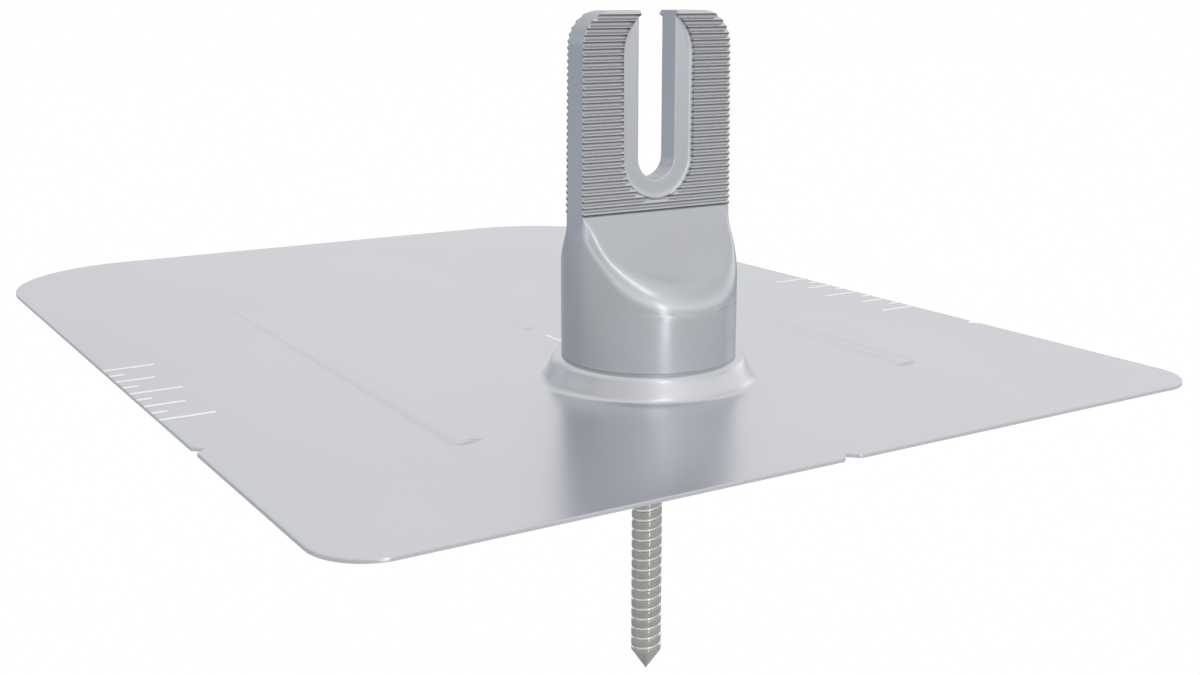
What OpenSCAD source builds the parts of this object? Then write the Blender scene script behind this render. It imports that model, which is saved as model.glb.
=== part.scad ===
// Roof flashing mount for a solar rail: a sheet flashing with a raised platform, a cast tower staked
// into it, a lag screw with its bonded sealing washer on top of the tower, and a twist-on cap whose
// serrated, slotted tongue takes the rail foot.
// Origin on the lag axis at the underside of the flashing. +Y runs up the roof slope, +Z off the roof.
// Heights of the pieces are given above the upper face of the flashing, and raised() lifts them there.

/* [Flashing] */
// Width across the slope
sheet_w = 228.6; // [200:0.1:300]
// Length up the slope
sheet_l = 304.8; // [270:0.1:400]
// Thickness of the sheet
sheet_t = 0.9; // [0.6:0.1:1.3]
// Lag axis to the eave edge
eave_reach = 76.2; // [66:0.1:100]
// Radius of the two ridge corners
ridge_corner_r = 44.45; // [10:0.05:60]
// Radius of the two eave corners
eave_corner_r = 12.7; // [5:0.1:30]
// Mouth of the alignment notches
notch_w = 4.8; // [2:0.2:8]
// Depth of the alignment notches
notch_d = 2.4; // [1:0.2:5]

/* [Raised platform] */
// Height of the platform above the sheet
platform_h = 6; // [4:0.5:8]
// Slope of its wall against the sheet, in degrees
platform_slope = 53; // [40:1:70]
// Outer radius of the bend at its top
platform_bend_r = 2.4; // [1.8:0.1:3]
// Hollow radius of the bend at its foot
platform_foot_r = 1.5; // [0.5:0.1:3]
// Flat ledge left around the cap
platform_margin = 0.2; // [0.1:0.1:1.5]

/* [Beads] */
// Lag axis to the outer beads
bead_offset = 63.5; // [50:0.5:80]
// Width of a bead at its blunt end
bead_w = 11; // [7:0.5:14]
// Height of a bead at its blunt end
bead_h = 1.5; // [1:0.1:2.5]
// Length of the nose that closes the blunt end
bead_nose = 2.5; // [1.5:0.1:5]
// Eave edge to the blunt end of the outer beads
bead_from_eave = 48; // [30:1:60]
// Ridge edge to the thin end of every bead
bead_from_ridge = 75; // [60:1:110]
// Lag axis to the blunt end of the middle bead
middle_bead_start = 58; // [52:1:70]
// Share of the full section left at the thin end
bead_taper = 0.12; // [0.08:0.01:0.4]

/* [Tower] */
// Height of the sealing face above the sheet
seal_h = 25.4; // [24:0.2:27]
// Radius of the foot under the platform
tower_foot_r = 20; // [18:0.5:20.5]
// Radius of the neck through the sheet
neck_r = 15; // [13:0.1:15]
// Width of the staked lip over the sheet
lip_w = 1.2; // [0.6:0.1:1.2]
// Height of the staked lip
lip_h = 1; // [0.5:0.1:2]
// Radius of the sealing face
tower_top_r = 12.3; // [11:0.1:13.5]
// Underside of the lugs above the sheet
lug_z = 12; // [10:0.5:13]
// Height of a lug
lug_h = 4; // [2:0.5:4.5]
// Angle that a lug spans
lug_span = 50; // [30:1:60]

/* [Cap] */
// Radius of the round body
cap_r = 21.6; // [21.2:0.1:24]
// Metal from the head's pocket up to the first tooth
crown_t = 7.2; // [6.4:0.1:16]
// Wall around the main cavity
cap_wall = 3.2; // [2.6:0.1:3.6]
// Height of the slope from the round body's side in to the tongue's
shoulder_h = 5.8; // [3:0.1:12]
// Radius of the hollow scoop under the tongue
scoop_r = 34; // [28:0.5:45]
// Slope of the scoop where it leaves the tongue, in degrees from upright
scoop_lean = 25; // [20:1:28]
// Radius of the brow between scoop and round body
brow_r = 8; // [4:0.5:10]
// How far the brow would stand out of the round body if it ran on
brow_proud = 0.4; // [0.2:0.1:1]

/* [Tongue] */
// How far the tongue's sides lie inside the round body at the first tooth
side_relief = 0.5; // [0.4:0.1:3]
// Thickness of the tongue over the teeth at its top
tongue_t = 7.9; // [7.4:0.1:9]
// Casting draft of its sides and faces, in degrees
draft = 0.57; // [0:0.01:0.7]
// Radius of its top corners
tongue_corner_r = 8; // [4:0.5:9]
// Number of teeth on each face
tooth_count = 31; // [24:1:31]
// Pitch of the teeth
tooth_pitch = 1.524; // [1.3:0.001:1.524]
// Depth of the teeth
tooth_d = 0.762; // [0.4:0.001:0.8]
// Width of the bolt slot
slot_w = 10.3; // [8.4:0.1:11]
// Tongue's top to the centre of the slot's round end
slot_reach = 34.3; // [25:0.1:35]
// Width of the bolt recess on each face
recess_w = 20; // [16:0.5:22]
// Tongue's top to the centre of the recess's upper arc
recess_top = 9.8; // [9:0.1:12]
// Thickness of the web between the two recesses
web_t = 5.7; // [4:0.1:6]

/* [Lag screw and washer] */
// Shank diameter
lag_d = 7.94; // [6.4:0.01:8]
// Length under the head
lag_len = 107.95; // [88:0.05:130]
// Length of the thread
thread_len = 66.7; // [40:0.1:70]
// Pitch of the thread
thread_pitch = 2.7; // [2.2:0.1:3.5]
// How far the thread's crest lies under the shank's surface
crest_drop = 0.1; // [0.05:0.01:0.3]
// Depth of the thread under its crest
thread_d = 0.45; // [0.3:0.05:0.9]
// Share of the pitch that its flat crest takes
thread_crest = 0.5; // [0.2:0.05:0.6]
// Length of the point
point_len = 5.7; // [4:0.1:9]
// Width of the hexagon across flats
hex_af = 11.1; // [9.5:0.1:11.5]
// Height of the hexagon
hex_h = 4; // [3:0.1:4.4]
// Width of the chamfer on its top corners
hex_chamfer = 1; // [0.3:0.1:1.2]
// Diameter of the flange under the hexagon
flange_d = 15; // [13:0.1:15.5]
// Thickness of the flange
flange_t = 1.4; // [1:0.1:1.6]
// Diameter of the bonded washer
washer_d = 19; // [17:0.1:19.4]
// Thickness of its rubber
rubber_t = 2; // [1.2:0.1:2.4]
// Thickness of its steel
steel_t = 1.25; // [0.8:0.05:1.5]

/* [Printed marks] */
// Spacing of the marks up the slope
mark_pitch = 6.35; // [5:0.05:8]
// Number of marks on each side
mark_count = 9; // [5:2:9]
// Lag axis to the first mark
mark_start = 25.4; // [20:0.1:30]
// Length of each fourth mark
mark_long = 12.7; // [11:0.1:16]
// Length of the marks between those
mark_medium = 9.5; // [6:0.1:10]
// Length of the marks between the medium and long ones
mark_short = 3.6; // [2:0.1:5]
// Width of a printed line
mark_w = 1.2; // [0.6:0.1:2]
// Thickness of the ink
ink_t = 0.1; // [0.05:0.01:0.2]
// Lag axis to the far end of the middle line
middle_line_end = 50.8; // [40:0.1:50.8]
// Length of the middle line
middle_line_len = 20; // [5:1:20]

/* [Clearances] */
// Neck to the sheet's hole
neck_gap = 0.05; // [0.02:0.01:0.2]
// Lag shank to the bore of the tower and the washer
lag_gap = 0.25; // [0.1:0.05:0.4]
// Lug to the cavity's wall, and lip to the ledge's
bayonet_gap = 0.4; // [0.2:0.05:0.5]
// Ledge under the lug
lug_gap = 0.2; // [0.1:0.05:0.3]
// Angle by which the gap between the ledges is wider than a lug
entry_play = 12; // [4:1:20]
// Air over the sealing face, the washer and the screw head
head_gap = 0.5; // [0.3:0.1:0.7]
// Air around the washer, the flange and the hexagon
side_gap = 0.6; // [0.3:0.1:0.8]

/* [Hidden] */
$fn = 96;
cut = 1;              // how far a cutter reaches past the surface it cuts
arc_steps = 12;       // straight steps that an arc in a polygon has
thread_sides = 16;    // straight steps in a turn of the thread

platform_underside = platform_h - sheet_t;
platform_flat_r = cap_r + platform_margin;
bend_centre = [platform_flat_r, platform_h - platform_bend_r];
bend_out = [for (a = [90, 90 - platform_slope]) bend_centre + platform_bend_r * [cos(a), sin(a)]];
// The wall runs from the bend down to the height where the foot's hollow bend takes over
wall_drop = bend_out[1].y - platform_foot_r * (1 - cos(platform_slope));
foot_centre = [bend_out[1].x + wall_drop / tan(platform_slope) + platform_foot_r * sin(platform_slope),
               platform_foot_r];
hole_r = neck_r + neck_gap;

bead_blunt_y = bead_from_eave - eave_reach + bead_nose;
bead_thin_y = sheet_l - eave_reach - bead_from_ridge;

lip_r = neck_r + lip_w;
ledge_r = lip_r + bayonet_gap;
cavity_r = cap_r - cap_wall;
lug_r = cavity_r - bayonet_gap;
bore_r = lag_d / 2 + lag_gap;

plate_z = seal_h + rubber_t;
head_z = plate_z + steel_t;
hex_z = head_z + flange_t;
hex_r = hex_af / 2 / cos(30);
hex_top_z = hex_z + hex_h;
chamfer_h = hex_chamfer * tan(30);
lag_tip_z = head_z - lag_len;
thread_top_z = lag_tip_z + thread_len;

serration_z = hex_top_z + head_gap + crown_t;
cap_h = serration_z + tooth_count * tooth_pitch;
slot_z = cap_h - slot_reach;
scoop_start = face_half(serration_z) - tooth_d;
scoop_centre = [scoop_start + scoop_r * cos(scoop_lean), serration_z + scoop_r * sin(scoop_lean)];
// The brow touches the scoop, so their centres lie scoop_r + brow_r apart
brow_s = cap_r + brow_proud - brow_r;
brow_angle = acos((scoop_centre.x - brow_s) / (scoop_r + brow_r));
brow_centre = [brow_s, scoop_centre.y - (scoop_r + brow_r) * sin(brow_angle)];

function arc(centre, r, from, to) =
    [for (i = [0:arc_steps]) let (a = from + (to - from) * i / arc_steps) centre + r * [cos(a), sin(a)]];
function reversed(list) = [for (i = [len(list) - 1:-1:0]) list[i]];
function mirrored(list) = [for (p = reversed(list)) [-p.x, p.y]];
function bead_share(y) = 1 - (1 - bead_taper) * (y - bead_blunt_y) / (bead_thin_y - bead_blunt_y);
function face_half(z) = tongue_t / 2 + (cap_h - z) * tan(draft);
function side_half(z) = cap_r - side_relief - (z - serration_z) * tan(draft);

module raised(z = 0) { translate([0, 0, sheet_t + z]) children(); }
module ring(r_out, r_in, h) {
    difference() {
        cylinder(r = r_out, h = h);
        translate([0, 0, -cut]) cylinder(r = r_in, h = h + 2 * cut);
    }
}

// Sheet outline with its origin on the lag axis, its corners rounded and its notches cut
module corner_waste(at, turn, r) {
    translate(at) rotate(turn) difference() {
        translate([-cut, -cut]) square(r + cut);
        translate([r, r]) circle(r = r);
    }
}
module notch(at, turn) {
    translate(at) rotate(turn)
        polygon([[-notch_w / 2 - cut, -cut], [-notch_w / 2, 0], [0, notch_d], [notch_w / 2, 0],
                 [notch_w / 2 + cut, -cut]]);
}
module sheet_outline() {
    half = sheet_w / 2;
    ridge = sheet_l - eave_reach;
    difference() {
        translate([-half, -eave_reach]) square([sheet_w, sheet_l]);
        corner_waste([-half, -eave_reach], 0, eave_corner_r);
        corner_waste([half, -eave_reach], 90, eave_corner_r);
        corner_waste([half, ridge], 180, ridge_corner_r);
        corner_waste([-half, ridge], 270, ridge_corner_r);
        notch([0, -eave_reach], 0);
        notch([half, 0], 90);
        notch([-half, 0], -90);
    }
}

// A bead is a cone that leans out of the sheet towards its blunt end, where a short nose closes it.
// Its section is the flat segment of a circle that bead_w and bead_h give, times bead_share: all beads
// narrow by one rule, from the full section at the outer beads' blunt end.
module bead_body(x, blunt_y) {
    share = bead_share(blunt_y);
    section_r = (bead_w * bead_w / 4 + bead_h * bead_h) / (2 * bead_h);
    sink = section_r - bead_h;
    run = bead_thin_y - blunt_y;
    rise = sink * (share - bead_taper);
    length = norm([run, rise]);
    translate([x, blunt_y, -sink * share]) rotate([-atan(run / rise), 0, 0]) rotate_extrude()
        polygon([[0, -bead_nose], [sink * share, -bead_nose], [section_r * share, 0],
                 [section_r * bead_taper, length], [0, length]]);
}
module beads() {
    for (side = [-1, 1]) bead_body(side * bead_offset, bead_blunt_y);
    bead_body(0, middle_bead_start + bead_nose);
}

// The platform's wall between its upper face and its underside, both bends about the same centres
platform_section = concat(
    [[hole_r, platform_underside], [hole_r, platform_h]],
    arc(bend_centre, platform_bend_r, 90, 90 - platform_slope),
    arc(foot_centre, platform_foot_r, 270 - platform_slope, 270),
    arc(foot_centre, platform_foot_r + sheet_t, 270, 270 - platform_slope),
    arc(bend_centre, platform_bend_r - sheet_t, 90 - platform_slope, 90));

module flashing() {
    color([0.82, 0.83, 0.85]) raised() {
        difference() {
            translate([0, 0, -sheet_t]) linear_extrude(sheet_t) sheet_outline();
            translate([0, 0, -sheet_t - cut]) cylinder(r = foot_centre.x, h = sheet_t + 2 * cut);
            translate([0, 0, -sheet_t]) beads();
        }
        rotate_extrude() polygon(platform_section);
        difference() {
            intersection() {
                beads();
                translate([-sheet_w / 2, -sheet_l, 0]) cube([sheet_w, 2 * sheet_l, bead_h]);
            }
            translate([0, 0, -sheet_t]) beads();
        }
    }
}

// Cast tower: its foot fills the platform, its neck is staked over the sheet, two lugs hold the cap
module lug() {
    rotate(-lug_span / 2) rotate_extrude(angle = lug_span)
        translate([bore_r + cut, lug_z]) square([lug_r - bore_r - cut, lug_h]);
}
module tower() {
    color([0.62, 0.64, 0.66]) raised() difference() {
        union() {
            rotate_extrude() polygon([
                [0, -sheet_t], [tower_foot_r, -sheet_t], [tower_foot_r, platform_underside],
                [neck_r, platform_underside], [neck_r, platform_h], [lip_r, platform_h],
                [lip_r, platform_h + lip_h], [tower_top_r, seal_h], [0, seal_h]]);
            for (turn = [0, 180]) rotate(turn) lug();
        }
        translate([0, 0, -sheet_t - cut]) cylinder(r = bore_r, h = seal_h + sheet_t + 2 * cut);
    }
}

// Bonded washer: rubber under a stainless plate
module sealing_rubber() { color([0.12, 0.12, 0.13]) raised(seal_h) ring(washer_d / 2, bore_r, rubber_t); }
module sealing_plate() { color([0.72, 0.72, 0.70]) raised(plate_z) ring(washer_d / 2, bore_r, steel_t); }

// The thread is one profile wound round the axis: each step of a turn holds its points, and a turn's
// last point meets the first point of the turn above. A fan to the axis closes each end.
module thread_coil(z_low, z_high) {
    crest_r = lag_d / 2 - crest_drop;
    profile = [[0, crest_r], [thread_crest, crest_r], [(1 + thread_crest) / 2, crest_r - thread_d]];
    m = len(profile);
    turns = ceil((z_high - z_low) / thread_pitch);
    steps = turns * thread_sides;
    last = (steps + 1) * m;
    points = concat(
        [for (i = [0:steps], p = profile) let (a = 360 * i / thread_sides)
            [p[1] * cos(a), p[1] * sin(a), z_low + (i / thread_sides + p[0]) * thread_pitch]],
        [[0, 0, z_low], [0, 0, z_low + (turns + 1) * thread_pitch]]);
    // Index of the point that lies one profile point above point k of step i
    function up(i, k) = k + 1 < m ? i * m + k + 1 : (i + thread_sides) * m;
    walls = [for (i = [0:steps - 1], k = [0:m - 1], half = [0, 1])
        if (k + 1 < m || i + thread_sides < steps)
            half == 0 ? [i * m + k, up(i, k), up(i + 1, k)] : [i * m + k, up(i + 1, k), (i + 1) * m + k]];
    top = steps - thread_sides;
    ends = concat(
        [for (i = [0:thread_sides - 1]) [last, i * m, (i + 1) * m]],
        [for (k = [0:m - 1]) [last, up(0, k), k]],
        [for (i = [top:steps - 1]) [last + 1, (i + 1) * m + m - 1, i * m + m - 1]],
        [for (k = [0:m - 1]) [last + 1, k == 0 ? top * m + m - 1 : steps * m + k - 1, steps * m + k]]);
    polyhedron(points, concat(walls, ends));
}
module lag_screw() {
    color([0.70, 0.69, 0.65]) raised() {
        translate([0, 0, thread_top_z]) cylinder(d = lag_d, h = head_z - thread_top_z);
        intersection() {
            thread_coil(lag_tip_z - 2 * thread_pitch, thread_top_z + 2 * thread_pitch);
            rotate_extrude() polygon([
                [0, lag_tip_z], [lag_d / 2, lag_tip_z + point_len], [lag_d / 2, thread_top_z + cut],
                [0, thread_top_z + cut]]);
        }
        translate([0, 0, head_z]) cylinder(d = flange_d, h = flange_t);
        intersection() {
            translate([0, 0, hex_z]) cylinder(r = hex_r, h = hex_h, $fn = 6);
            rotate_extrude() polygon([
                [0, hex_z - cut], [hex_r + cut, hex_z - cut], [hex_r + cut, hex_top_z - chamfer_h],
                [hex_r, hex_top_z - chamfer_h], [hex_r - hex_chamfer, hex_top_z], [0, hex_top_z]]);
        }
    }
}

// Side view of the cap: round body, brow, scoop and the toothed face, mirrored for the far face
cap_edge = concat(
    [[cap_r + brow_proud, platform_h - cut]],
    arc(brow_centre, brow_r, 0, brow_angle),
    reversed(arc(scoop_centre, scoop_r, 180 + scoop_lean, 180 + brow_angle)),
    [for (k = [0:tooth_count - 1], half = [0.5, 1])
        let (z = serration_z + (k + half) * tooth_pitch)
        [face_half(z) - (half == 1 ? tooth_d : 0), z]]);
module across(half) { rotate([90, 0, 90]) translate([0, 0, -half]) linear_extrude(2 * half) children(); }
module front(half) { rotate([90, 0, 0]) translate([0, 0, -half]) linear_extrude(2 * half) children(); }

// Front view: the sides run up the round body, slope in to the tongue and end in its round corners
module cap_front() {
    corner = [side_half(cap_h - tongue_corner_r) - tongue_corner_r, cap_h - tongue_corner_r];
    out = cap_r + brow_proud;
    edge = concat([[out, platform_h - cut], [out, serration_z - shoulder_h], [side_half(serration_z), serration_z]],
                  arc(corner, tongue_corner_r, 0, 90));
    polygon(concat(edge, mirrored(edge)));
}
// A slot standing open at its top: a round end at the centre height z and parallel sides above it
module open_slot(r, z, top) {
    translate([0, z]) circle(r = r);
    translate([-r, z]) square([2 * r, top - z]);
}
module recess() {
    r = recess_w / 2;
    open_slot(r, slot_z, cap_h - recess_top);
    translate([0, cap_h - recess_top]) circle(r = r);
}
// The cavity follows the tower, the washer and the screw head
module cavity() {
    main_z = lug_z + lug_h + head_gap;
    face_z = seal_h + head_gap;
    washer_top = head_z + head_gap;
    flange_top = hex_z + head_gap;
    rotate_extrude() polygon([
        [0, platform_h - cut], [cavity_r, platform_h - cut], [cavity_r, main_z],
        [tower_top_r + side_gap, face_z], [washer_d / 2 + side_gap, face_z],
        [washer_d / 2 + side_gap, washer_top], [flange_d / 2 + side_gap, washer_top],
        [flange_d / 2 + side_gap, flange_top], [hex_r + side_gap, flange_top],
        [hex_r + side_gap, hex_top_z - chamfer_h], [hex_r - hex_chamfer, hex_top_z + head_gap],
        [0, hex_top_z + head_gap]]);
}
// Two ledges at the cavity's foot hook under the lugs. The gaps between them let the lugs in,
// a quarter turn from where they lock.
module ledges() {
    ledge_span = 180 - lug_span - entry_play;
    for (turn = [0, 180])
        rotate(turn - ledge_span / 2) rotate_extrude(angle = ledge_span)
            translate([ledge_r, platform_h + head_gap])
                square([cavity_r + cap_wall / 2 - ledge_r, lug_z - lug_gap - platform_h - head_gap]);
}
module cap() {
    color([0.70, 0.72, 0.74]) raised() {
        difference() {
            intersection() {
                translate([0, 0, platform_h]) cylinder(r = cap_r, h = cap_h - platform_h + cut);
                across(cap_r + cut) polygon(concat(cap_edge, mirrored(cap_edge)));
                front(cap_r + 2 * cut) cap_front();
            }
            front(cap_r) open_slot(slot_w / 2, slot_z, cap_h + cut);
            for (face = [0, 180]) rotate(face) translate([0, -web_t / 2, 0])
                rotate([90, 0, 0]) linear_extrude(tongue_t) recess();
            cavity();
        }
        ledges();
    }
}

// White lines printed along both sides and up the middle of the sheet
module line(x, y, w, l) { translate([x, y, 0]) cube([w, l, ink_t]); }
module alignment_marks() {
    color("white") raised() {
        for (k = [0:mark_count - 1]) {
            length = k % 4 == 0 ? mark_long : k % 2 == 0 ? mark_medium : mark_short;
            y = mark_start + k * mark_pitch - mark_w / 2;
            line(-sheet_w / 2, y, length, mark_w);
            line(sheet_w / 2 - length, y, length, mark_w);
        }
        line(-mark_w / 2, middle_line_end - middle_line_len, mark_w, middle_line_len);
    }
}

flashing();
tower();
sealing_rubber();
sealing_plate();
lag_screw();
cap();
alignment_marks();
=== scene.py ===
"""A roof flashing mount for a solar rail: sheet flashing, round cap with a toothed tongue, lag screw."""
import math
import bpy
import bmesh
import numpy as np
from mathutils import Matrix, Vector


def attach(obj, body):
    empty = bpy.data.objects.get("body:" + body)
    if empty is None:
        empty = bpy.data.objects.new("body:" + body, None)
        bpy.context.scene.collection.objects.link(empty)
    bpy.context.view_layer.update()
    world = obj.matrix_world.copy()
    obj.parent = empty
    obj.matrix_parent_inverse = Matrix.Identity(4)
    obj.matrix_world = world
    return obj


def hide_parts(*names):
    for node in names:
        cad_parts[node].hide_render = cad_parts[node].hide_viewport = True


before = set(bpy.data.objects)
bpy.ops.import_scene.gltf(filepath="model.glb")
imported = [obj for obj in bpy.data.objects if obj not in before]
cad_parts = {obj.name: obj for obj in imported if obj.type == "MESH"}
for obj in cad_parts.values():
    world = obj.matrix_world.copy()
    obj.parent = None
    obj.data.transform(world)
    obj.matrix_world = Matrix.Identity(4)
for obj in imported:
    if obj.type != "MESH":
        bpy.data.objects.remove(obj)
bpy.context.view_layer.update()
scene = bpy.context.scene


# Flashing: one pressed sheet of mill-finish aluminium with a raised round platform, three tapering
# beads, alignment notches and round corners. It slides under the shingle above and lies on the one
# below. Lengths are in millimetres, and heights are above the sheet's upper face.
SHEET_T, EAVE, RIDGE, HALF_W = 0.9, -76.2, 228.6, 114.3
EAVE_CORNER, RIDGE_CORNER, NOTCH, EDGE = 12.7, 44.45, 2.4, 0.15
BEAD_X, BEAD_HALF, BEAD_H, NOSE = 63.5, 4.2, 0.55, 0.7
BEAD_START, MIDDLE_START, BEAD_LEN, THIN_SHARE = -25.7, 60.5, 179.3, 0.12
FADE_START, FADE_LEN = 140, 14


def grid_faces(rows, columns, flip=False, offset=0):
    """The quads of a grid whose points are numbered row by row."""
    i, j = np.meshgrid(np.arange(rows - 1), np.arange(columns - 1), indexing="ij")
    a = (i * columns + j).ravel() + offset
    quads = np.stack([a, a + 1, a + columns + 1, a + columns], 1)
    return quads[:, ::-1] if flip else quads


def add_grid(points, faces, grid, flip=False):
    """Adds a grid's points and quads to the lists of a piece."""
    faces.append(grid_faces(*grid.shape[:2], flip=flip, offset=sum(map(len, points))))
    points.append(grid.reshape(-1, 3))


def make_piece(name, points, faces, crease):
    """A mesh from points in millimetres and quads: points that coincide become one, and quads that
    lose two corners go. It is shaded smooth up to the crease angle and rides on the frame."""
    mesh = bpy.data.meshes.new(name)
    mesh.from_pydata((points * 0.001).tolist(), [], [list(f) for f in faces])
    b = bmesh.new()
    b.from_mesh(mesh)
    bmesh.ops.remove_doubles(b, verts=b.verts, dist=2e-6)
    bmesh.ops.dissolve_degenerate(b, edges=b.edges, dist=1e-6)
    bmesh.ops.recalc_face_normals(b, faces=b.faces)
    b.to_mesh(mesh)
    b.free()
    mesh.polygons.foreach_set("use_smooth", [True] * len(mesh.polygons))
    mesh.set_sharp_from_angle(angle=math.radians(crease))
    piece = bpy.data.objects.new(name, mesh)
    scene.collection.objects.link(piece)
    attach(piece, "root")
    return piece


def sheet_half_width(y):
    """Half the sheet's width at y: full, less the circle of the near corner, and a V notch at y = 0."""
    w = np.full_like(y, HALF_W)
    for radius, inward in ((EAVE_CORNER, y - EAVE), (RIDGE_CORNER, RIDGE - y)):
        d = np.clip(radius - inward, 0, radius)
        w -= radius - np.sqrt(radius ** 2 - d ** 2)
    return w - np.clip(NOTCH - np.abs(y), 0, None)


def bead_share(y):
    """Share of a bead's full section left at y: 1 at the blunt end and 0.12 where it runs out."""
    return np.clip(1 - (1 - THIN_SHARE) * (y - BEAD_START) / BEAD_LEN, THIN_SHARE, 1)


def bead_height(x, y, centre, start):
    """Height of a bead: 1 - u squared, to the power of 1.25, times the share left at y. u is the
    distance from the crest in half widths, and at the blunt end also in nose lengths."""
    share = bead_share(y)
    u2 = ((x - centre) / (BEAD_HALF * share)) ** 2 + (np.clip(start + NOSE - y, 0, None) / NOSE) ** 2
    runs_out = 1 - np.clip((y - FADE_START) / FADE_LEN, 0, 1) ** 2
    return BEAD_H * share * np.clip(1 - u2, 0, None) ** 1.25 * runs_out


def sheet_height(x, y):
    """Height of the sheet outside the platform: the highest of the three beads."""
    beads = ((-BEAD_X, BEAD_START), (BEAD_X, BEAD_START), (0, MIDDLE_START))
    return np.max([bead_height(x, y, centre, start) for centre, start in beads], 0)


# Rows run across the sheet. They crowd at the round corners and at the beads' blunt ends.
PATCH = 36
nose_rows = np.arange(-1, 17) * 0.06
eave_rows = EAVE + EDGE + (EAVE_CORNER - EDGE) * (1 - np.sin(np.linspace(np.pi / 2, 0, 15)))
ridge_rows = RIDGE - RIDGE_CORNER + (RIDGE_CORNER - EDGE) * np.sin(np.linspace(0, np.pi / 2, 26))
rows_y = np.unique(np.round(np.r_[
    eave_rows, np.linspace(EAVE + EAVE_CORNER, -PATCH, 10), np.arange(-PATCH, PATCH + 0.1, 1.2),
    BEAD_START + nose_rows, np.linspace(PATCH, 56, 8), 58.5, MIDDLE_START + nose_rows,
    np.linspace(63, 146, 30), np.linspace(146, RIDGE - RIDGE_CORNER, 16), ridge_rows], 4))
rows_y = rows_y[np.r_[True, np.diff(rows_y) > 0.05]]

# Columns run up the slope. Over a bead they close in on it, in a band that stays as wide, and outside
# the beads they spread to the sheet's edge, which keeps a little way off the band at the ridge.
inner = np.r_[0, 0.33, 0.66, 0.85, 1]
centre_u = np.arange(1, 29) / 28
bead_u = np.linspace(-1, 1, 19)
edge_u = np.r_[0.02, 0.08, 0.2, 0.35, 0.5, 0.65, 0.8, 0.9, 0.95, 0.98, 1]
BAND, BEAD_REACH, LEAST_EDGE = 6, 4.3, 69.72


def sheet_columns(y):
    """The right half's columns at y, from x = 0 to the edge."""
    middle = BEAD_REACH * bead_share(max(y, MIDDLE_START))
    reach = BEAD_REACH * bead_share(y)
    edge = max(sheet_half_width(np.array([y]))[0] - EDGE, LEAST_EDGE)
    band_in, band_out, room = BEAD_X - BAND, BEAD_X + BAND, (BAND - reach) * 0.5
    return np.r_[inner * middle, middle + (PATCH - middle) * centre_u,
                 np.linspace(PATCH, band_in, 8)[1:], band_in + room, BEAD_X + bead_u * reach,
                 band_out - room, band_out, band_out + (edge - band_out) * edge_u]


half_columns = np.array([sheet_columns(y) for y in rows_y])
columns_x = np.concatenate([-half_columns[:, :0:-1], half_columns], 1)
n_rows, n_columns = columns_x.shape
grid_y = np.repeat(rows_y[:, None], n_columns, 1)
# The notch at the eave pulls the last rows in
PULL = 6
pull = np.clip((EAVE + PULL - grid_y) / (PULL - EDGE), 0, 1)
grid_y = grid_y + pull * np.clip(NOTCH - np.abs(columns_x), 0, None)
sheet_grid = np.stack([columns_x, grid_y, sheet_height(columns_x, grid_y)], 2)

# The grid leaves out a square around the platform, which a round patch fills from the same points
low_row = int(np.argmin(np.abs(rows_y + PATCH)))
high_row = int(np.argmin(np.abs(rows_y - PATCH)))
half = (n_columns - 1) // 2
side = len(inner) - 1 + len(centre_u)
left_column, right_column = half - side, half + side
quads = grid_faces(n_rows, n_columns)
row_of, column_of = quads[:, 0] // n_columns, quads[:, 0] % n_columns
in_rows = (row_of >= low_row) & (row_of < high_row)
in_columns = (column_of >= left_column) & (column_of < right_column)
quads = quads[~(in_rows & in_columns)]
square = np.concatenate([
    sheet_grid[low_row, left_column:right_column], sheet_grid[low_row:high_row, right_column],
    sheet_grid[high_row, right_column:left_column:-1], sheet_grid[high_row:low_row:-1, left_column]])

# Platform: its flat, top bend, conical wall and hollow foot, as a profile of radius and height
SLOPE, BEND_R, FOOT_R, FLAT_R, PLATFORM_H, HOLE_R = math.radians(66), 2.6, 2.2, 21.95, 6.0, 15.05
drop = BEND_R * (1 - math.cos(SLOPE))
foot_drop = FOOT_R * (1 - math.cos(SLOPE))
wall_out = FLAT_R + BEND_R * math.sin(SLOPE)
foot_x = wall_out + (PLATFORM_H - drop - foot_drop) / math.tan(SLOPE) + FOOT_R * math.sin(SLOPE)


def platform_profile(lower):
    """Radius and height along the platform, as arcs about the two bend centres; the lower face keeps
    the sheet's thickness away."""
    top_r, bottom_r = BEND_R - lower, FOOT_R + lower
    a = np.linspace(0, SLOPE, 9)
    bend = np.stack([FLAT_R + top_r * np.sin(a), PLATFORM_H - BEND_R + top_r * np.cos(a)], 1)
    a = np.linspace(SLOPE, 0, 9)
    foot = np.stack([foot_x - bottom_r * np.sin(a), FOOT_R - bottom_r * np.cos(a)], 1)
    flat = [[r, PLATFORM_H - lower] for r in (HOLE_R, 18.5, 20.5, 21.4)]
    return np.concatenate([flat, bend, (bend[-1:] + foot[:1]) / 2, foot])


def platform_patch(lower):
    """Rings from the platform's hole out to the square: each point stays at its angle, and past the
    foot the circle turns into the square."""
    angle = np.arctan2(square[:, 1], square[:, 0])
    rings = [np.stack([r * np.cos(angle), r * np.sin(angle), np.full_like(angle, z)], 1)
             for r, z in platform_profile(lower)]
    circle = rings[-1]
    flat = np.stack([square[:, 0], square[:, 1], square[:, 2] - lower], 1)
    rings += [circle * (1 - t) + flat * t for t in (0.15, 0.4, 0.7, 1)]
    rings = np.array(rings)
    return np.concatenate([rings, rings[:, :1]], 1)


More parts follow.
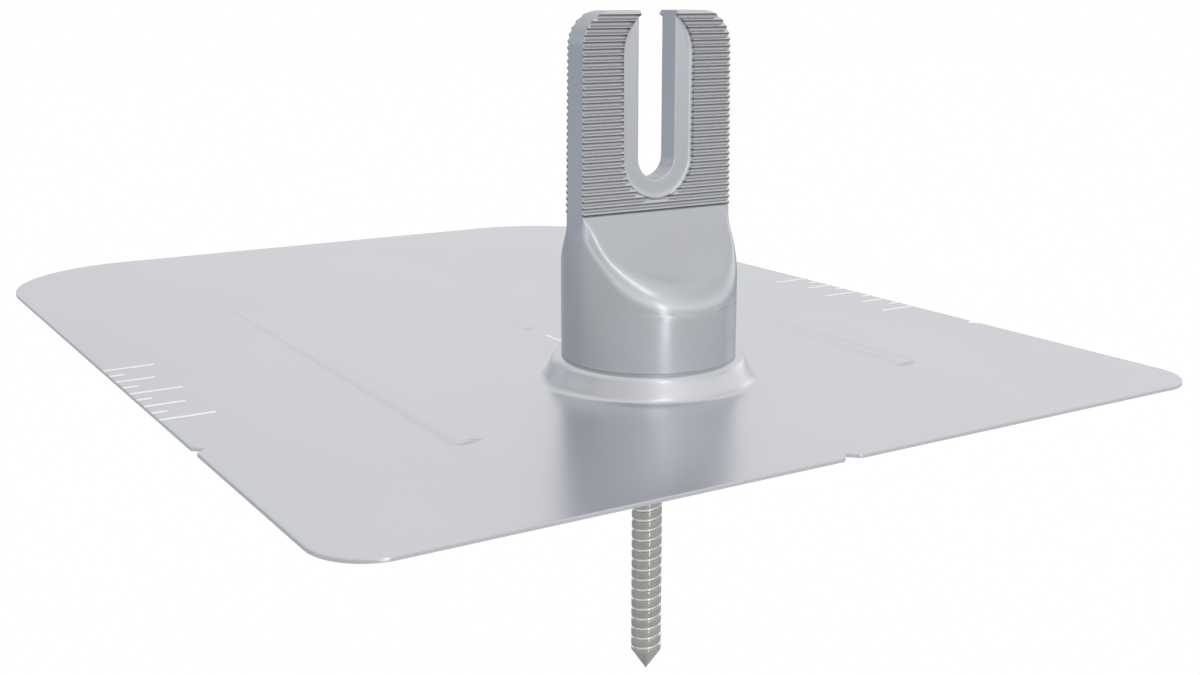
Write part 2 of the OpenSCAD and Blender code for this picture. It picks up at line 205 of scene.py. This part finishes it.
# The sheet's rim: rings from the upper grid's edge round to the lower grid's edge
loop = np.concatenate([
    sheet_grid[0, :-1], sheet_grid[:-1, -1], sheet_grid[-1, :0:-1], sheet_grid[:0:-1, 0]])
along = np.roll(loop, -1, 0) - np.roll(loop, 1, 0)
outward = np.stack([along[:, 1], -along[:, 0]], 1)
outward /= np.linalg.norm(outward, axis=1)[:, None]
rim = []
for sink, bend, degrees in ((0, -1, (0, 30, 60, 90)), (SHEET_T, 1, (90, 60, 30, 0))):
    for turn in map(math.radians, degrees):
        rim.append(np.c_[loop[:, :2] + outward * EDGE * math.sin(turn),
                         loop[:, 2] - sink + bend * EDGE * (1 - math.cos(turn))])
rim = np.array(rim)

points, faces = [], []
for lower, flip in ((0.0, False), (SHEET_T, True)):
    faces.append((quads[:, ::-1] if flip else quads) + sum(map(len, points)))
    points.append(sheet_grid.reshape(-1, 3) - [0, 0, lower])
    add_grid(points, faces, platform_patch(lower), flip=not flip)
add_grid(points, faces, np.concatenate([rim, rim[:, :1]], 1))
add_grid(points, faces, np.array([platform_patch(0)[0], platform_patch(SHEET_T)[0]]))
flashing = make_piece("flashing_sheet", np.concatenate(points) + [0, 0, SHEET_T],
                      np.concatenate(faces), crease=40)
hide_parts("flashing")


def add_node(tree, kind, links=None, **settings):
    """A new node of a kind in a tree. Settings are the node's own properties. Links name inputs, by
    their number or name, and give each the output that feeds it or the value that it holds."""
    node = tree.nodes.new(kind)
    for key, value in settings.items():
        setattr(node, key, value)
    for key, value in (links or {}).items():
        if isinstance(value, bpy.types.NodeSocket):
            tree.links.new(value, node.inputs[key])
        else:
            node.inputs[key].default_value = value
    return node


def work_out(tree, operation, *values):
    """The output of a Math node, fed with outputs or numbers."""
    return add_node(tree, "ShaderNodeMath", dict(enumerate(values)), operation=operation).outputs[0]


def ramp(tree, value, start, end, low=0.0, high=1.0, smooth=False):
    """Low where the value is at start and high where it is at end, straight or as a smooth step."""
    links = {"Value": value, "From Min": start, "From Max": end, "To Min": low, "To Max": high}
    step = "SMOOTHSTEP" if smooth else "LINEAR"
    return add_node(tree, "ShaderNodeMapRange", links, interpolation_type=step).outputs[0]


def blend(tree, share, first, second):
    """A colour that runs from the first to the second as the share runs from 0 to 1."""
    return add_node(tree, "ShaderNodeMix", {0: share, 6: first, 7: second}, data_type="RGBA").outputs[2]


def shade_between(tree, mask, dark, light):
    """A colour that runs from dark to light as the mask runs from 0.3 to 0.7."""
    return blend(tree, ramp(tree, mask, 0.3, 0.7), (*dark, 1), (*light, 1))


def new_finish(name, roughness, metallic=1.0):
    """A material with its Principled shader and the object's own coordinates."""
    finish = bpy.data.materials.new(name)
    finish.use_nodes = True
    shader = finish.node_tree.nodes["Principled BSDF"]
    shader.inputs["Metallic"].default_value = metallic
    shader.inputs["Roughness"].default_value = roughness
    place = finish.node_tree.nodes.new("ShaderNodeTexCoord").outputs["Object"]
    return finish, finish.node_tree, shader, place


def grain_group(name):
    """Node group of a surface's fine grain: two noises, one at the grain's size and one six times as
    large, each stretched by Stretch. It puts out the grain, the clouding and their sum as a height."""
    group = bpy.data.node_groups.new(name, "ShaderNodeTree")
    for label, kind, value in (("Place", "Vector", None), ("Stretch", "Vector", (1, 1, 1)),
                               ("Grain per metre", "Float", 1500.0), ("Detail", "Float", 2.0)):
        socket = group.interface.new_socket(name=label, in_out="INPUT", socket_type="NodeSocket" + kind)
        if value is not None:
            socket.default_value = value
    for label in ("Grain", "Cloud", "Height"):
        group.interface.new_socket(name=label, in_out="OUTPUT", socket_type="NodeSocketFloat")
    inlet = group.nodes.new("NodeGroupInput").outputs
    outlet = group.nodes.new("NodeGroupOutput")
    stretched = add_node(group, "ShaderNodeVectorMath", {0: inlet["Place"], 1: inlet["Stretch"]},
                         operation="MULTIPLY").outputs[0]
    fine = add_node(group, "ShaderNodeTexNoise", {
        "Vector": stretched, "Scale": inlet["Grain per metre"], "Detail": inlet["Detail"],
        "Roughness": 0.6}).outputs["Fac"]
    sixth = work_out(group, "MULTIPLY", inlet["Grain per metre"], 1 / 6)
    coarse = add_node(group, "ShaderNodeTexNoise", {
        "Vector": stretched, "Scale": sixth, "Detail": 2.0, "Roughness": 0.5}).outputs["Fac"]
    group.links.new(fine, outlet.inputs["Grain"])
    group.links.new(coarse, outlet.inputs["Cloud"])
    group.links.new(work_out(group, "MULTIPLY_ADD", coarse, 0.6, fine), outlet.inputs["Height"])
    return group


grain = grain_group("surface_grain")


def grain_at(tree, place, per_metre, stretch=(1, 1, 1), detail=2.0):
    """The outputs of the grain group, placed in a material."""
    links = {"Place": place, "Stretch": stretch, "Grain per metre": per_metre, "Detail": detail}
    return add_node(tree, "ShaderNodeGroup", links, node_tree=grain).outputs


def feed(tree, shader, colour, gloss=None, relief=None):
    """Gives a shader its colour and, where asked, more: gloss is a mask with the roughness at its 0
    and 1, and relief is a height with the strength of its bump."""
    tree.links.new(colour, shader.inputs["Base Color"])
    if gloss:
        mask, least, most = gloss
        tree.links.new(ramp(tree, mask, 0.0, 1.0, least, most), shader.inputs["Roughness"])
    if relief:
        height, strength = relief
        bump = add_node(tree, "ShaderNodeBump", {"Height": height, "Strength": strength, "Distance": 0.0002})
        tree.links.new(bump.outputs[0], shader.inputs["Normal"])


def dress(piece, finish):
    """Gives a piece its one material."""
    piece.data.materials.clear()
    piece.data.materials.append(finish)


# Mill finish: rolling lines run up the sheet, and the skin clouds a little from place to place
mill_finish, tree, shader, place = new_finish("mill_finish_sheet", 0.2)
lines = grain_at(tree, place, 1400.0, (1, 0.03, 1), 3.0)
cloud = grain_at(tree, place, 120.0, (1, 0.5, 1))["Cloud"]
feed(tree, shader, shade_between(tree, cloud, (0.655, 0.667, 0.70), (0.675, 0.685, 0.715)),
     gloss=(lines["Grain"], 0.275, 0.283), relief=(lines["Height"], 0.003))
dress(flashing, mill_finish)

# Alignment marks: white ink printed on the sheet, matt, a little uneven over the rolling lines.
# They show how far the sheet slides under a shingle and where its middle is.
white_ink, tree, shader, place = new_finish("white_ink", 0.55, metallic=0.0)
uneven = grain_at(tree, place, 2500.0)["Grain"]
feed(tree, shader, shade_between(tree, uneven, (0.86, 0.86, 0.86), (0.95, 0.95, 0.95)))
dress(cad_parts["alignment_marks"], white_ink)


# Tower: cast aluminium, staked into the platform from below. The bonded washer on top of it is a ring
# of black rubber under a ring of stainless steel. All three are closed in under the cap.
def cast_finish(name):
    """Fine cast aluminium, tumbled smooth: a faint clouding of its colour and a fine grain in its gloss."""
    finish, tree, shader, place = new_finish(name, 0.27)
    shader.inputs["Specular Tint"].default_value = (0.78, 0.8, 0.84, 1)
    skin = grain_at(tree, place, 2200.0)
    colour = shade_between(tree, skin["Cloud"], (0.565, 0.58, 0.612), (0.575, 0.588, 0.62))
    feed(tree, shader, colour, gloss=(skin["Grain"], 0.268, 0.276))
    return finish, tree, shader, place, colour


cast_skin = cast_finish("fine_cast_aluminium")[0]
dress(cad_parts["tower"], cast_skin)

rubber, tree, shader, place = new_finish("seal_rubber", 0.8, metallic=0.0)
speckle = grain_at(tree, place, 3500.0)
feed(tree, shader, shade_between(tree, speckle["Grain"], (0.018, 0.018, 0.02), (0.03, 0.03, 0.033)),
     relief=(speckle["Height"], 0.2))
dress(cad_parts["sealing_rubber"], rubber)

steel, tree, shader, place = new_finish("stainless_steel", 0.14)
turned = grain_at(tree, place, 2600.0, (0.15, 0.15, 1), 3.0)
feed(tree, shader, shade_between(tree, turned["Cloud"], (0.50, 0.49, 0.47), (0.57, 0.562, 0.545)),
     gloss=(turned["Grain"], 0.11, 0.17), relief=(turned["Height"], 0.03))
dress(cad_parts["sealing_plate"], steel)


# Cap: one casting, round at the foot, scooped out front and back up to a toothed tongue with a slot.
# Its quarter with x and y positive is a grid of rows from the tongue's top down, and is mirrored twice.
CAP_R, TOOTH_Z, TOOTH, TOOTH_D, TEETH = 21.6, 41.75, 1.524, 0.762, 31
CAP_TOP = TOOTH_Z + TEETH * TOOTH
SLOT_R, SLOT_Z, POCKET_R, POCKET_TOP, HALF_WEB = 5.15, CAP_TOP - 34.3, 10.0, CAP_TOP - 9.8, 2.85
RIM_R, BROW_R, SCOOP_R, LEAN, SHOULDER_H = 3.0, 8.0, 34.0, math.radians(25), 5.8
CORNER_R, DRAFT, TOP_HALF, CAP_EDGE = 8.0, math.tan(math.radians(0.57)), 3.95, 0.12
CREST_CUT, ROOT_CUT = 0.06, 0.96


def face_half(z):
    """Half the tongue's thickness over its teeth at z: 3.95 at the top, with the casting's draft."""
    return TOP_HALF + (CAP_TOP - z) * DRAFT


def tooth_face(z):
    """Distance of the toothed face from the middle plane: a zigzag whose crests and roots are cut flat."""
    phase = np.abs(1 - 2 * ((z - TOOTH_Z) / TOOTH % 1))
    return face_half(z) - TOOTH_D * np.clip(phase, CREST_CUT, ROOT_CUT)


def side_half(z):
    """Half the tongue's width at z, with draft, and the circle of its top corner."""
    half = CAP_R - 0.5 - (z - TOOTH_Z) * DRAFT
    up = np.clip(z - (CAP_TOP - CORNER_R), 0, CORNER_R)
    return half - CORNER_R + np.sqrt(CORNER_R ** 2 - up ** 2)


def pocket_half(z):
    """Half the width of the bolt pocket at z, and of the slot above the pocket's pointed ends."""
    low = np.sqrt(np.clip(POCKET_R ** 2 - np.clip(SLOT_Z - z, 0, None) ** 2, 0, None))
    high = np.sqrt(np.clip(POCKET_R ** 2 - np.clip(z - POCKET_TOP, 0, None) ** 2, 0, None))
    return np.maximum(np.minimum(low, high), np.where(z > POCKET_TOP, SLOT_R, 0))


# Rows follow the teeth, and crowd at the pocket's foot and at the tongue's top corners
tip_z = POCKET_TOP + math.sqrt(POCKET_R ** 2 - SLOT_R ** 2)
low_z = SLOT_Z - POCKET_R
tooth_rows = TOOTH_Z + TOOTH * (np.arange(TEETH)[:, None] + np.r_[0.03, 0.25, 0.48, 0.52, 0.75, 0.98])
pocket_rows = low_z + POCKET_R * (1 - np.cos(np.linspace(0, 0.6, 10)))
corner_rows = CAP_TOP - (np.arange(1, 8) / 10) ** 2
rows_z = np.unique(np.round(np.r_[
    TOOTH_Z, tooth_rows.ravel(), CAP_TOP, pocket_rows, tip_z, corner_rows], 4))[::-1]

# A row's points: a strip along the face, an arc over the rim and the side or the round body
STRIP, ROUND, SIDE = np.linspace(0, 1, 13), np.linspace(0, 1, 11), np.linspace(0, 1, 31)


def tongue_row(z):
    """One row of the tongue: along the toothed face, round its edge and back along its side."""
    y, x, inner_x = tooth_face(z), side_half(z), pocket_half(z)
    turn = ROUND * np.pi / 2
    strip = np.stack([inner_x + (x - CAP_EDGE - inner_x) * STRIP, np.full(len(STRIP), y)], 1)
    edge = np.stack([x - CAP_EDGE + CAP_EDGE * np.sin(turn), y - CAP_EDGE + CAP_EDGE * np.cos(turn)], 1)
    side = np.stack([np.full(len(SIDE), x), (y - CAP_EDGE) * (1 - SIDE)], 1)
    row = np.concatenate([strip, edge, side])
    return np.c_[row, np.full(len(row), z)]


# The scoop in the plane of y and z, from the teeth down to the brow, with its normals
scoop_s = face_half(TOOTH_Z) - TOOTH_D * ROOT_CUT
scoop_c = np.array([scoop_s + SCOOP_R * math.cos(LEAN), TOOTH_Z + SCOOP_R * math.sin(LEAN)])
brow_turn = math.acos((scoop_c[0] - (CAP_R - BROW_R)) / (SCOOP_R + BROW_R))
brow_z = scoop_c[1] - (SCOOP_R + BROW_R) * math.sin(brow_turn)
along = np.linspace(0, 1, 60)
turn = LEAN + (brow_turn - LEAN) * along
scoop_n = np.stack([np.cos(turn), np.sin(turn)], 1)
scoop_p = scoop_c - SCOOP_R * scoop_n
RIM_RUN, SLACK, SOFT = 4.5, 0.05, 0.08


def scoop_row(p, n, t):
    """One row of the scooped part: along the scoop, over the rolling ball that rounds its rim, and
    round the body. The ball touches the scoop at p, whose normal is n, and the round body. Its radius
    grows with t, from 0 at the teeth through the rim's to the brow's at the front."""
    grow = np.clip((TOOTH_Z - p[1]) / RIM_RUN, 0, 1)
    late = np.clip((t - 0.45) / 0.55, 0, 1)
    ball = RIM_R * grow * (2 - grow) + (BROW_R - RIM_R) * late ** 2 * (3 - 2 * late)
    cy, cz = p[0] - ball * n[0], p[1] - ball * n[1]
    cx = math.sqrt(max((CAP_R - ball) ** 2 - cy ** 2, 0))
    strip = np.stack([cx * STRIP, np.full(len(STRIP), p[0]), np.full(len(STRIP), p[1])], 1)
    first, last = np.array([0, n[0], n[1]]), np.array([cx, cy, 0]) / (CAP_R - ball)
    angle = math.acos(min(1, max(-1, float(first @ last))))
    weights = 1 - ROUND, ROUND
    if angle > 1e-6:
        weights = [np.sin(angle * w) / math.sin(angle) for w in weights]
    arc = np.array([cx, cy, cz]) + ball * (weights[0][:, None] * first + weights[1][:, None] * last)
    turn = math.atan2(cy, cx) * (1 - SIDE)
    body = np.stack([CAP_R * np.cos(turn), CAP_R * np.sin(turn), np.full(len(SIDE), cz)], 1)
    row = np.concatenate([strip, arc, body])
    # The side slopes in from the round body to the tongue's flat side, with a softened corner
    t = np.clip((row[:, 2] - (TOOTH_Z - SHOULDER_H)) / SHOULDER_H, 0, 1)
    limit = CAP_R + SLACK - (CAP_R + SLACK - side_half(TOOTH_Z)) * t
    corner = np.sqrt((row[:, 0] - limit) ** 2 + SOFT ** 2 * 4 * t * (1 - t))
    row[:, 0] = np.maximum(0.5 * (row[:, 0] + limit - corner), 0)
    return row


def round_row(r, z):
    """One row of the round body and of the cavity: a quarter circle, its front columns drawn together."""
    turn = np.pi / 2 * (1 - SIDE)
    ring = np.stack([r * np.cos(turn), r * np.sin(turn), np.full(len(SIDE), z)], 1)
    return np.concatenate([np.repeat(ring[:1], len(STRIP) + len(ROUND), 0), ring])


# The cavity's radii and heights, from its mouth over the lugs, tower, washer and flange to the hexagon
CAVITY = ((18.4, 6.0), (18.4, 16.5), (12.9, 25.9), (10.1, 25.9), (10.1, 29.15), (8.1, 29.15),
          (8.1, 30.55), (7.0, 30.55), (7.0, 33.5), (5.4, 34.55), (2.0, 34.55), (0.0, 34.55))
rows = [tongue_row(z) for z in rows_z]
rows += [scoop_row(p, n, t) for p, n, t in zip(scoop_p[1:], scoop_n[1:], along[1:])]
rows += [round_row(CAP_R, z) for z in np.linspace(brow_z, PLATFORM_H + 0.06, 10)[1:]]
rows += [round_row(CAP_R - 0.06, PLATFORM_H)]
rows += [round_row(r, z) for r, z in CAVITY]
skin = np.array(rows)


def pocket_row(z):
    """One row of the pocket from its toothed edge to the slot's middle plane: wall with a hollow
    corner, floor, rounded lip and slot wall. Below the slot's centre the rows fan out about that
    centre, above it they are level."""
    if z < SLOT_Z:
        c = (SLOT_Z - z) / POCKET_R
        out = np.array([math.sqrt(max(1 - c * c, 0)), -c])
        centre, reach = np.array([0, SLOT_Z]), POCKET_R
    else:
        out, centre, reach = np.array([1.0, 0.0]), np.array([0.0, z]), float(pocket_half(np.array(z)))
    room = reach - SLOT_R
    fillet = min(1.0, 0.45 * room)
    lip = min(0.25, 0.3 * room)
    a = np.linspace(0, np.pi / 2, 6)[1:]
    wall_y = np.linspace(tooth_face(z), HALF_WEB + fillet, 3)
    floor_x = np.linspace(reach - fillet, SLOT_R + lip, 5)[1:]
    line = np.concatenate([
        np.stack([np.full(3, reach), wall_y], 1),
        np.stack([reach - fillet * (1 - np.cos(a)), HALF_WEB + fillet * (1 - np.sin(a))], 1),
        np.stack([floor_x, np.full(4, HALF_WEB)], 1),
        np.stack([SLOT_R + lip * (1 - np.sin(a)), HALF_WEB - lip * (1 - np.cos(a))], 1),
        np.stack([np.full(3, SLOT_R), np.linspace(HALF_WEB - lip, 0, 4)[1:]], 1)])
    place = centre + line[:, :1] * out
    return np.stack([place[:, 0], line[:, 1], place[:, 1]], 1)


pocket = np.array([pocket_row(z) for z in rows_z[(rows_z <= tip_z + 1e-6) & (rows_z >= low_z - 1e-6)]])
# The slot's wall above the pocket's pointed end
upper_z = rows_z[rows_z >= tip_z - 1e-3]
upper = np.array([[[SLOT_R, y, z] for y in np.linspace(tooth_face(z), 0, 7)] for z in upper_z])
# The tongue's top: the first row and the slot's edge, each point once
ring = np.concatenate([skin[0], upper[0][::-1][:-1]])
top_ring = [ring[0]]
for point in ring[1:]:
    if np.linalg.norm(point - top_ring[-1]) > 1e-4:
        top_ring.append(point)
top_ring = np.array(top_ring)

points, faces, base = [], [], 0
for sx in (1, -1):
    for sy in (1, -1):
        mirror = np.array([sx, sy, 1])
        for block in (skin, pocket, upper):
            quads = grid_faces(*block.shape[:2])
            # A quad that lies in the mirror plane would be a wall inside the piece
            quads = quads[np.abs(block.reshape(-1, 3)[quads, 0]).max(1) > 1e-6]
            faces += (quads + base).tolist()
            points.append(block.reshape(-1, 3) * mirror)
            base += len(points[-1])
        faces.append(list(range(base, base + len(top_ring))))
        points.append(top_ring * mirror)
        base += len(top_ring)
cap = make_piece("cap_casting", np.concatenate(points) + [0, 0, SHEET_T], faces, crease=32)
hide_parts("cap")

# The toothed faces are painted lighter than the cast skin, a painted highlight, and the band under each
# tooth's crest is painted dark, a painted shade
toothed_skin, tree, shader, place, colour = cast_finish("toothed_casting")
axes = add_node(tree, "ShaderNodeSeparateXYZ", {0: place}).outputs
count = work_out(tree, "MULTIPLY_ADD", axes["Z"], 1000 / TOOTH, -(TOOTH_Z + SHEET_T) / TOOTH)
part = work_out(tree, "FRACT", count)
below_crest = ramp(tree, part, 0.5, 0.46)
above_root = ramp(tree, part, 0.12, 0.26)
on_face = ramp(tree, work_out(tree, "ABSOLUTE", axes["Y"]), 0.0031, 0.0033)
on_tongue = ramp(tree, count, -0.05, 0.05)
teeth = work_out(tree, "MULTIPLY", on_face, on_tongue)
# Painted shade: the band under each tooth's crest is painted dark
painted_shade_undersides = work_out(tree, "MULTIPLY", work_out(tree, "MULTIPLY", below_crest, above_root), teeth)
# Painted highlight: the toothed faces are painted lighter than the cast skin
painted_light_teeth = blend(tree, teeth, colour, (0.68, 0.685, 0.70, 1))
feed(tree, shader, blend(tree, painted_shade_undersides, painted_light_teeth, (0.24, 0.245, 0.25, 1)))
dress(cap, toothed_skin)


# Lag screw: shank, right-hand thread with broad round ridges, cone point, flange and hexagon. It
# clamps the bonded washer onto the tower and holds the mount to the rafter.
PITCH, CREST_R, ROOT_R, SHANK_R, HEAD_Z = 2.7, 3.87, 3.42, 3.97, 28.65
LAG_TIP, THREAD_LEN, POINT_LEN, RUN_OUT = HEAD_Z - 107.95, 66.7, 5.7, 1.5


def lag_radius(turn, z):
    """Radius of the screw at an angle and height: a broad ridge, steep below and sloping above, that
    follows z less the turn's share of the pitch, inside the point's cone."""
    u = ((z - LAG_TIP) / PITCH - turn / (2 * np.pi)) % 1
    rise = np.clip((u - 0.02) / 0.12, 0, 1)
    fall = np.clip((0.96 - u) / 0.19, 0, 1)
    share = np.sin(np.minimum(rise, fall) * np.pi / 2) ** 1.3
    crown = 0.05 * np.clip((u - 0.45) / 0.4, -1, 1) ** 2
    thread = ROOT_R + (CREST_R - ROOT_R) * share - crown
    run = np.clip((z - (LAG_TIP + THREAD_LEN)) / RUN_OUT, 0, 1)
    cone = (z - LAG_TIP) * (CREST_R / POINT_LEN)
    return np.minimum(thread * (1 - run) + SHANK_R * run, cone)


turns = np.linspace(0, 2 * np.pi, 73)
thread_top = LAG_TIP + 68.5
heights = np.unique(np.r_[np.arange(LAG_TIP, thread_top, 0.09), thread_top, HEAD_Z])
turn_grid, z_grid = np.meshgrid(turns, heights)
r_grid = lag_radius(turn_grid, z_grid)
shank = np.stack([r_grid * np.cos(turn_grid), r_grid * np.sin(turn_grid), z_grid], 2)

# Head: radius and height up the flange, then height and the radius that cuts the hexagon's corners
hexagon = 5.55 / np.cos((turns + np.pi / 6) % (np.pi / 3) - np.pi / 6)
head = [(r, z) for r, z in ((SHANK_R, 28.65), (7.5, 28.65), (7.5, 29.8), (7.3, 30.05), (5.9, 30.05))]
head += [(np.minimum(hexagon, cut_r), z) for cut_r, z in (
    (9.0, 30.05), (6.41, 33.47), (5.92, 33.75), (5.4, 34.05), (0.0, 34.05))]
head = [np.stack([r * np.cos(turns), r * np.sin(turns), np.full(len(turns), z)], 1) for r, z in head]
screw = np.concatenate([shank, np.array(head)])
lag = make_piece("lag_screw_threaded", screw.reshape(-1, 3) + [0, 0, SHEET_T],
                 grid_faces(*screw.shape[:2]), crease=50)
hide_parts("lag_screw")

# Above the point, the thread's roots and lower flanks are painted nearly white, a painted sheen for the light
# they catch, and its crests keep the steel's duller colour
thread_steel, tree, shader, place = new_finish("rolled_thread_steel", 0.14)
turned = grain_at(tree, place, 2600.0, (0.15, 0.15, 1), 3.0)
crest = shade_between(tree, turned["Cloud"], (0.42, 0.413, 0.39), (0.49, 0.482, 0.46))
axes = add_node(tree, "ShaderNodeSeparateXYZ", {0: place}).outputs
across = add_node(tree, "ShaderNodeVectorMath", {0: place, 1: (1, 1, 0)}, operation="MULTIPLY").outputs[0]
radius = add_node(tree, "ShaderNodeVectorMath", {0: across}, operation="LENGTH").outputs["Value"]
# Painted sheen: the roots and lower flanks, within the crests' radius, are painted nearly white
inside = ramp(tree, radius, 0.00382, 0.0036)
point_top = [(LAG_TIP + SHEET_T + above) * 0.001 for above in (5.6, 6.4)]
mask = work_out(tree, "MULTIPLY", inside, ramp(tree, axes["Z"], *point_top))
feed(tree, shader, blend(tree, mask, crest, (0.9, 0.9, 0.9, 1)),
     gloss=(turned["Grain"], 0.1, 0.18), relief=(turned["Height"], 0.03))
dress(lag, thread_steel)


# Camera: 43.45 mm lens, 290 mm down the slope and 195 mm to the left of the lag, 94 mm above the
# roof, turned 32 degrees to the right and 13.42 degrees down.
scene.view_settings.view_transform = "Standard"
scene.view_settings.look = "None"
scene.view_settings.exposure = 0
scene.view_settings.gamma = 1
camera_data = bpy.data.cameras.new("camera")
camera_data.lens = 43.45
camera_data.sensor_width = 36
camera_data.dof.use_dof = False
camera = bpy.data.objects.new("camera", camera_data)
camera.location = (-0.1954, -0.2901, 0.09405)
camera.rotation_euler = (math.radians(90 - 13.42), 0, math.radians(-32.0))
scene.collection.objects.link(camera)
scene.camera = camera

# Studio: a pale floor far under the mount that glows, with painted lighter and darker patches in reflections,
# a white surround with lighter and darker parts, and two narrow strip lights in front. The camera sees plain
# white, and the metal reflects the surround and the floor's glow.
FLOOR_Z, FLOOR_HALF = -0.30, 6


def seen_rays(tree):
    """Two masks: 1 for what the camera, a reflection or clear glass shows, and 1 for the camera alone."""
    path = tree.nodes.new("ShaderNodeLightPath").outputs
    mirrored = work_out(tree, "MAXIMUM", path["Is Glossy Ray"], path["Is Transmission Ray"])
    return work_out(tree, "MAXIMUM", path["Is Camera Ray"], mirrored), path["Is Camera Ray"]


def lobe(tree, direction, azimuth, fade_cosine, rise=0):
    """1 towards an azimuth, in degrees from +X, and a rise above the horizon, falling smoothly to 0
    where the cosine to it is fade_cosine."""
    turn, up = math.radians(azimuth), math.radians(rise)
    axis = (math.cos(turn) * math.cos(up), math.sin(turn) * math.cos(up), math.sin(up))
    cosine = add_node(tree, "ShaderNodeVectorMath", {0: direction, 1: axis}, operation="DOT_PRODUCT")
    return ramp(tree, cosine.outputs["Value"], fade_cosine, 1.0, smooth=True)


def surround_tone(tree, direction, plain, dip):
    """Strength and colour of the surround in a direction: plain, times a level that is a little less
    overhead, and less in a haze at the horizon. The level is lower by dip in a bluish patch behind to
    the left, lower in five more patches and higher in two, some of them only high or low."""
    height = add_node(tree, "ShaderNodeSeparateXYZ", {0: direction}).outputs["Z"]
    falling = ramp(tree, height, 0.22, 0.52, 1.02, 0.87, smooth=True)
    haze = ramp(tree, height, -0.02, 0.15, 0.78, smooth=True)
    high = ramp(tree, height, 0.25, 0.42, smooth=True)
    low = work_out(tree, "SUBTRACT", 1.0, high)
    sky = ramp(tree, height, 0.08, 0.25)
    level = work_out(tree, "MULTIPLY", falling, haze)
    dark = lobe(tree, direction, 118, 0.78)
    patches = ((dark, None, -dip),
               (lobe(tree, direction, 148, 0.8, 17), sky, -0.2),
               (lobe(tree, direction, 190, 0.2), high, -0.22),
               (lobe(tree, direction, 62, 0.5), low, -0.15),
               (lobe(tree, direction, -32, 0.6, 18), sky, -0.15),
               (lobe(tree, direction, -75, 0.0), None, 0.13),
               (lobe(tree, direction, 14, 0.95, 15), None, 0.3),
               (lobe(tree, direction, 95, 0.9, 28), None, -0.14))
    for part, band, gain in patches:
        if band is not None:
            part = work_out(tree, "MULTIPLY", part, band)
        level = work_out(tree, "MULTIPLY_ADD", part, gain, level)
    return work_out(tree, "MULTIPLY", level, plain), blend(tree, dark, (1, 1, 1, 1), (0.94, 1.0, 1.08, 1))


# The world lights the mount with plain white, shows the surround in reflections and white to the camera
world = bpy.data.worlds.new("studio")
scene.world = world
world.use_nodes = True
tree = world.node_tree
shown, direct = seen_rays(tree)
direction = tree.nodes.new("ShaderNodeTexCoord").outputs["Generated"]
strength, tint = surround_tone(tree, direction, 1.0, 0.3)
surround = add_node(tree, "ShaderNodeBackground", {"Color": tint, "Strength": strength})
white = add_node(tree, "ShaderNodeBackground", {"Color": (1, 1, 1, 1), "Strength": 1.0})
show = add_node(tree, "ShaderNodeMixShader", {0: direct, 1: surround.outputs[0], 2: white.outputs[0]})
light = tree.nodes["Background"]
light.inputs["Color"].default_value = (1, 1, 1, 1)
mix = add_node(tree, "ShaderNodeMixShader", {0: shown, 1: light.outputs[0], 2: show.outputs[0]})
tree.links.new(mix.outputs[0], tree.nodes["World Output"].inputs["Surface"])

floor_corners = [(x * FLOOR_HALF, y * FLOOR_HALF, FLOOR_Z) for x, y in ((-1, -1), (1, -1), (1, 1), (-1, 1))]
floor_mesh = bpy.data.meshes.new("floor")
floor_mesh.from_pydata(floor_corners, [], [(0, 1, 2, 3)])
floor = bpy.data.objects.new("floor", floor_mesh)
scene.collection.objects.link(floor)
# The floor glows: white to the camera, and in reflections with painted lighter and darker patches round the
# mount. It shows nine tenths of that glow and one tenth of what light falls on it, so a shadow stays
pale = bpy.data.materials.new("pale_floor")
pale.use_nodes = True
tree = pale.node_tree
tree.nodes.remove(tree.nodes["Principled BSDF"])
shown, direct = seen_rays(tree)
place = tree.nodes.new("ShaderNodeTexCoord").outputs["Object"]
level_place = add_node(tree, "ShaderNodeVectorMath", {0: place, 1: (1, 1, 0)}, operation="MULTIPLY").outputs[0]
direction = add_node(tree, "ShaderNodeVectorMath", {0: level_place}, operation="NORMALIZE").outputs[0]
strength, tint = surround_tone(tree, direction, 0.8, 0.1)
# Painted glow: the floor's tone in reflections, with lighter and darker patches
reflected_glow = add_node(tree, "ShaderNodeEmission", {"Color": tint, "Strength": strength})
white = add_node(tree, "ShaderNodeEmission", {"Color": (1, 1, 1, 1), "Strength": 1.04})
show = add_node(tree, "ShaderNodeMixShader", {0: direct, 1: reflected_glow.outputs[0], 2: white.outputs[0]})
paint = add_node(tree, "ShaderNodeBsdfDiffuse", {"Color": (0.65, 0.65, 0.65, 1)})
share = work_out(tree, "MULTIPLY", shown, 0.9)
mix = add_node(tree, "ShaderNodeMixShader", {0: share, 1: paint.outputs[0], 2: show.outputs[0]})
tree.links.new(mix.outputs[0], tree.nodes["Material Output"].inputs["Surface"])
floor_mesh.materials.append(pale)

# Two upright strip lights, one over the other, 0.6 m from the lag in front of the mount. A strip's
# power gives its face the radiance asked for.
STRIP_TURN, STRIP_AWAY, STRIP_W = math.radians(-102.5), 0.6, 0.03
for name, z, length, radiance in (("upper_strip", 1.65, 2.4, 4.5), ("lower_strip", -0.05, 0.46, 3.4)):
    lamp = bpy.data.lights.new(name, "AREA")
    lamp.shape = "RECTANGLE"
    lamp.size, lamp.size_y = STRIP_W, length
    lamp.energy = radiance * math.pi * STRIP_W * length
    holder = bpy.data.objects.new(name, lamp)
    holder.location = (STRIP_AWAY * math.cos(STRIP_TURN), STRIP_AWAY * math.sin(STRIP_TURN), z)
    aim = Vector((0, 0, z)) - holder.location
    holder.rotation_euler = aim.to_track_quat("-Z", "Y").to_euler()
    holder.visible_camera = False
    scene.collection.objects.link(holder)
